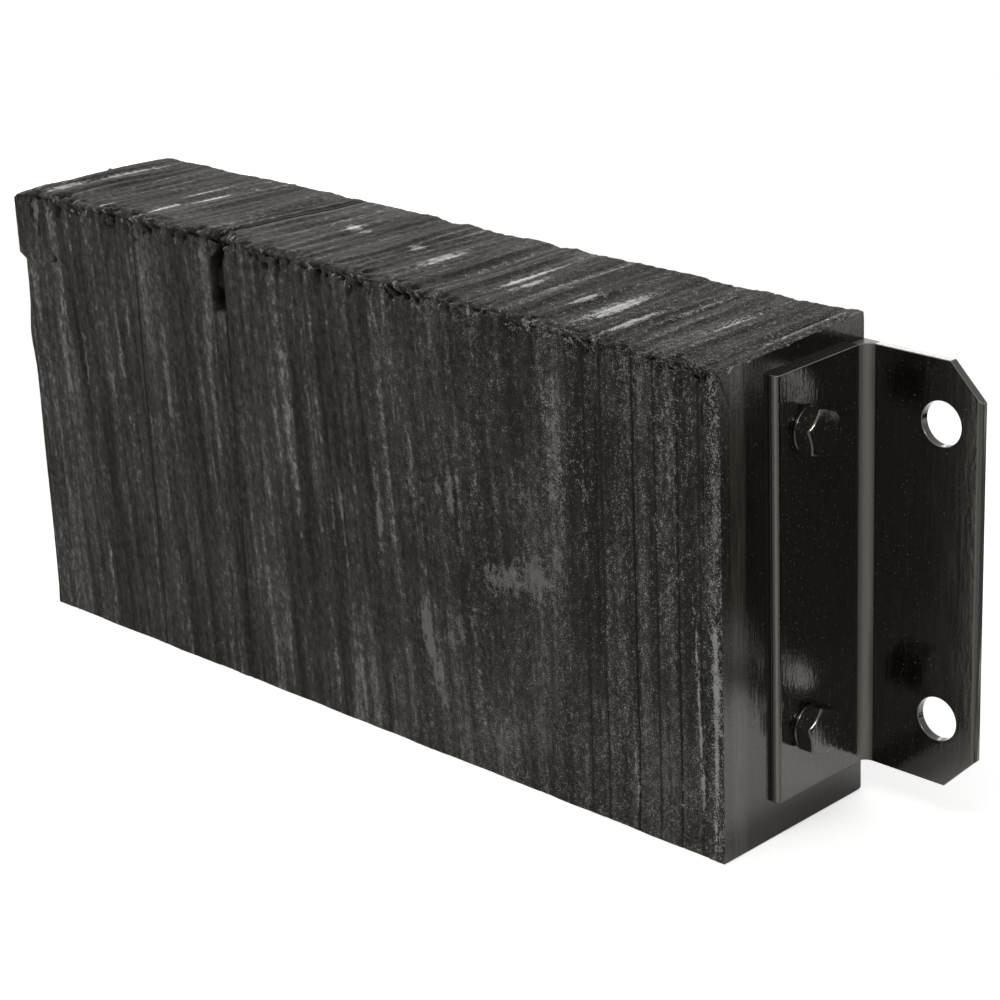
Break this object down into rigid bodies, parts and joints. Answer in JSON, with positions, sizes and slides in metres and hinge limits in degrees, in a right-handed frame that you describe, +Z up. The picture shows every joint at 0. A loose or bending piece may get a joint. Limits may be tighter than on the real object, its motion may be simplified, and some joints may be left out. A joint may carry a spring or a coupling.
{
  "type": "dock bumper",
  "caption": "Laminated dock bumper: rubber pads on edge, drawn together by tie bolts between steel angles whose drilled flanges anchor to a loading-dock wall.",
  "frame": {"origin": "middle of the length and depth, on the ground that the pads' feet stand on", "axes": "+X along the stack towards the bolt heads, +Y from the striking face to the wall, +Z up"},
  "size_m": [0.702, 0.114, 0.267],
  "materials": {
    "rubber": "cut, scuffed, fabric-reinforced casing rubber",
    "painted_rubber": "cut rubber with gloss black paint on its outer face",
    "painted_steel": "gloss black paint",
    "fastener_steel": "gloss black paint"
  },
  "bodies": {
    "root": {"pad_01": "painted_rubber", "pad_02": "rubber", "pad_03": "rubber", "pad_04": "rubber", "pad_05": "rubber", "pad_06": "rubber", "pad_07": "rubber", "pad_08": "rubber", "pad_09": "rubber", "pad_10": "rubber", "pad_11": "rubber", "pad_12": "rubber", "pad_13": "rubber", "pad_14": "rubber", "pad_15": "rubber", "pad_16": "rubber", "pad_17": "rubber", "pad_18": "rubber", "pad_19": "rubber", "pad_20": "rubber", "pad_21": "rubber", "pad_22": "rubber", "pad_23": "rubber", "pad_24": "rubber", "pad_25": "rubber", "pad_26": "rubber", "pad_27": "rubber", "pad_28": "rubber", "pad_29": "rubber", "pad_30": "rubber", "pad_31": "rubber", "pad_32": "rubber", "pad_33": "rubber", "pad_34": "rubber", "pad_35": "rubber", "pad_36": "rubber", "pad_37": "rubber", "pad_38": "rubber", "pad_39": "rubber", "pad_40": "painted_rubber", "left_angle": "painted_steel", "right_angle": "painted_steel", "tie_bolts": "fastener_steel", "head_washers": "fastener_steel", "nut_washers": "fastener_steel", "hex_nuts": "fastener_steel"}
  },
  "joints": []
}
